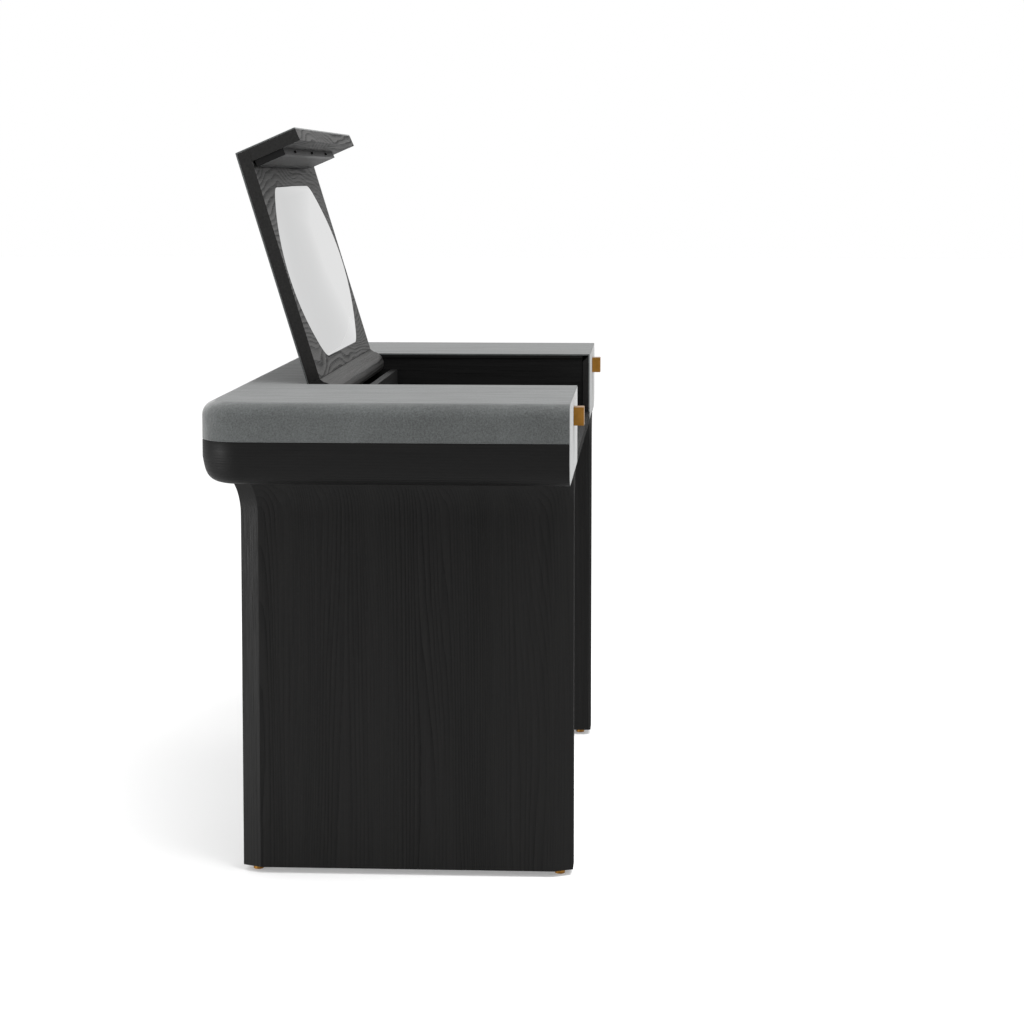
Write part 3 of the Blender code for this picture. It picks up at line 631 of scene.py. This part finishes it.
# ---- legs -----------------------------------------------------------------------------
def leg_ring(side, z):
    outer = PLATE_LOW.x / 2 + PLATE_HIGH.x / 2 + LEG_THICK / 2
    inner = outer - LEG_THICK
    front, back = LEG_LOW.y, LEG_HIGH.y - FLARE_OUT
    rise = min(max((z - FLARE_START) / (CASE_BOTTOM - FLARE_START), 0.0), 1.0)
    spread = 1 - math.sqrt(1 - rise * rise)
    outer += FLARE_OUT * spread
    inner -= FLARE_IN * spread
    back += FLARE_OUT * spread
    cut_x, cut_y = LEG_CHAMFER
    corners = [(outer, front + cut_y), (outer, back - cut_y), (outer - cut_x, back),
               (inner + LEG_EASE, back), (inner, back - LEG_EASE), (inner, front + LEG_EASE),
               (inner + LEG_EASE, front), (outer - cut_x, front)]
    return [(side * x, y, z) for x, y in corners]


def make_leg(label, side):
    rise = CASE_BOTTOM - FLARE_START
    heights = [LEG_LOW.z, 0.2, 0.4] + [FLARE_START + rise * math.sin(a) for a in quarter(20)]
    leg = loft("slab_leg_" + label, [leg_ring(side, z) for z in heights + [CASE_BOTTOM + LEG_OVERRUN]])
    profile = [(inset - GAP, z - GAP) for inset, z in curl_profile()] + [(-GAP, 0.700)]
    envelope = loft("case_envelope", [case_path(inset, z, FRONT - 0.05) for inset, z in profile])
    subtract(leg, envelope)
    soften(leg, 0.0012, 3, 20.0)
    place(leg, ASH_LEG, "root", "stained_ash", "leg_" + label)


# ---- lid ------------------------------------------------------------------------------
def lid_points(outline, x):
    """Points given as (along, out) on the closed lid, turned open about the pivot."""
    cos, sin = math.cos(LID_ANGLE), math.sin(LID_ANGLE)
    points = []
    for along, out in outline:
        y, z = -along, out
        points.append((x, PIVOT.y + y * cos + z * sin, PIVOT.z - y * sin + z * cos))
    return points


def lid_prism(name, outline, low_x=-LID_HALF, high_x=LID_HALF):
    return loft(name, [lid_points(outline, x) for x in (low_x, high_x)])


LID_DROP = HEIGHT - PIVOT.z                    # pivot below the leather of the closed lid
LID_REACH = PIVOT.y - FRONT
LID_THICK = 0.0225
LID_TAIL = 0.0237
LID_SEAM = 0.026
RAIL_RADIUS = 0.0215
RAIL_START = math.radians(16)                  # past the seam, where the roll begins
RAIL_END = math.radians(4)                     # past the tail, where it ends
RAIL_STEP = 0.006                              # from the pivot up to the step behind the roll
FASCIA_LENGTH = 0.104
SPLAY = math.radians(6.4)
MIRROR_START, MIRROR_LENGTH = 0.051, 0.296
MIRROR_THICK = 0.004
MIRROR_HALF = box_high("mirror_glass").x
MIRROR_END = 0.56 * OPENING                    # half width of its straight ends
MIRROR_FILLET = 0.022


def fascia_point(along, depth):
    """(along, out) of a point down the fascia from the lid's outer corner, and into it."""
    return (LID_REACH + along * math.sin(SPLAY) - depth * math.cos(SPLAY),
            LID_DROP - along * math.cos(SPLAY) - depth * math.sin(SPLAY))


def fascia_at(depth, out):
    fall = (LID_DROP - out - depth * math.sin(SPLAY)) / math.cos(SPLAY)
    return fascia_point(fall, depth)[0], out


def make_lid_leather():
    inside = LID_DROP - LEATHER_THICK
    outline = [(-LID_TAIL, inside), (-LID_TAIL, LID_DROP), (LID_REACH, LID_DROP),
               fascia_point(FASCIA_LENGTH, 0.0), fascia_point(FASCIA_LENGTH, LEATHER_THICK),
               fascia_at(LEATHER_THICK, inside)]
    skin = soften(lid_prism("lid_cover", outline), 0.0008, 3)
    place(skin, LEATHER, "lid", "leather", "lid_leather")


def mirror_outline(grow):
    """(x, along) round the barrel-shaped glass: straight ends, bulging sides, soft corners."""
    middle = MIRROR_START + MIRROR_LENGTH / 2
    reach = MIRROR_LENGTH / 2 + grow
    wide, narrow = MIRROR_HALF + grow, MIRROR_END + grow

    def side_point(share):
        return Vector((wide - (wide - narrow) * share * share, middle + reach * share))

    start = 0.90
    fillet = []
    bend = side_point(1.0)
    first, last = side_point(start), Vector((narrow - MIRROR_FILLET, middle + reach))
    for step in range(1, 9):
        t = step / 8
        fillet.append(first * (1 - t) ** 2 + bend * 2 * t * (1 - t) + last * t * t)
    rising = [side_point(start * (step / 20 - 1)) for step in range(41)]
    lower = [Vector((point.x, 2 * middle - point.y)) for point in reversed(fillet)]
    right = lower + rising + fillet
    return right + [Vector((-point.x, point.y)) for point in reversed(right)]


def mirror_plate(name, levels):
    """A plate with the mirror's outline, through (grow, out) levels."""
    rings = []
    for grow, out in levels:
        rings.append([lid_points([(p.y, out)], p.x)[0] for p in mirror_outline(grow)])
    return loft(name, rings)


def make_lid_wood():
    inner = LID_DROP - LID_THICK
    top = LID_DROP - LEATHER_THICK - GAP
    depth = LEATHER_THICK + GAP
    panel = lid_prism("mirror_panel", [(LID_SEAM, inner), (LID_SEAM, top), fascia_at(depth, top),
                                       fascia_at(depth, inner)])
    recess = mirror_plate("recess", ((GAP, inner - 0.01), (GAP, inner + MIRROR_THICK)))
    subtract(panel, recess)
    soften(panel, 0.0006, 2, 60.0)
    place(panel, ASH_LID_PAINTED_SHEEN, "lid", "stained_ash", "lid_panel")
    glass = mirror_plate("mirror_plate", ((-0.0016, inner - GAP), (-0.0002, inner + 0.0003),
                                          (0.0, inner + 0.0008), (0.0, inner + MIRROR_THICK - GAP)))
    place(glass, MIRROR, "lid", "mirror", "mirror_glass")
    roll = [(LID_SEAM - GAP, top), (LID_SEAM - GAP, inner)]
    start = math.atan2(inner, LID_SEAM - GAP) - RAIL_START
    finish = -math.pi - RAIL_END
    for step in range(41):
        angle = start + (finish - start) * step / 40
        roll.append((RAIL_RADIUS * math.cos(angle), RAIL_RADIUS * math.sin(angle)))
    roll += [(-LID_TAIL, RAIL_STEP), (-LID_TAIL, top)]
    rail = soften(lid_prism("rounded_hinge_rail", roll), 0.0005, 2)
    place(rail, ASH_ROLL_PAINTED_SHEEN, "lid", "stained_ash", "hinge_rail")


def soften_cad(width, *names):
    for name in names:
        soften(NODES[name], width, 2)


for node_name in NODES:
    dress(node_name, finish_for(node_name))
make_leather_top()
make_lower_shell()
for leg_label, leg_side in (("left", -1), ("right", 1)):
    make_leg(leg_label, leg_side)
    make_drawer_front(leg_label, leg_side)
make_lid_leather()
make_lid_wood()
soften_cad(0.0005, "lid_fascia", "light_box", "tray_rail", "pull_left", "pull_right")
